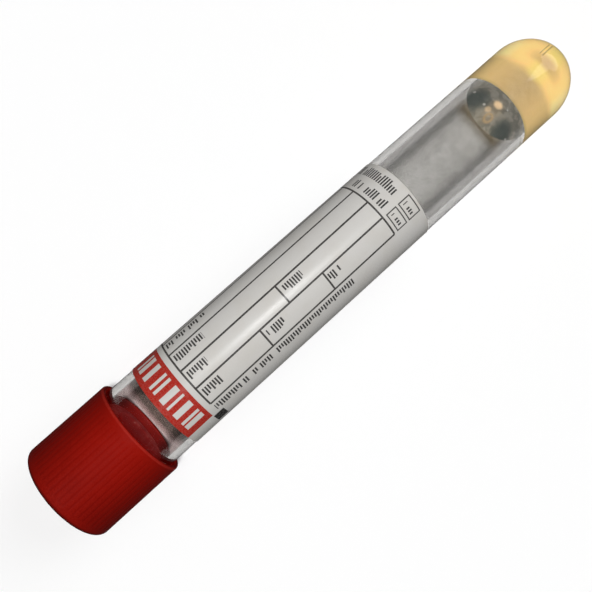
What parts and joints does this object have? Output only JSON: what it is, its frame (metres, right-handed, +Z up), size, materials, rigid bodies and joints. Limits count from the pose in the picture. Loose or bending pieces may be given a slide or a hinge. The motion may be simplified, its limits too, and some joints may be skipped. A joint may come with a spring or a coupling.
{
  "type": "blood collection tube",
  "caption": "Closed round-bottomed clear tube lying on its side, with a wrapped label, separator gel in its bottom and a grooved push-on cap over a rubber stopper.",
  "frame": {"origin": "middle of the footprint, on the surface that the tube lies on", "axes": "+Z up; +X along the tube from its cap towards its round bottom; the label faces +Z"},
  "size_m": [0.1066, 0.0168, 0.0171],
  "materials": {
    "clear_plastic": "clear injection-moulded polyester, glossy",
    "gel": "translucent yellow-tan gel, wet gloss",
    "label_film": "pale grey coated label with printed fields",
    "stopper_rubber": "dark red rubber, satin",
    "cap_plastic": "red moulded plastic, satin gloss, finely grooved",
    "ring_plastic": "golden yellow moulded plastic"
  },
  "bodies": {
    "vessel": {"tube": "clear_plastic", "separator_gel": "gel", "label": "label_film"},
    "closure": {"cap": "cap_plastic", "marker_ring": "ring_plastic", "stopper": "stopper_rubber"}
  },
  "joints": [
    {"name": "closure_pull", "type": "slide", "parent": "vessel", "child": "closure", "axis": [-0.9999, 0, 0.0144], "range_m": [0, 0.014]}
  ]
}
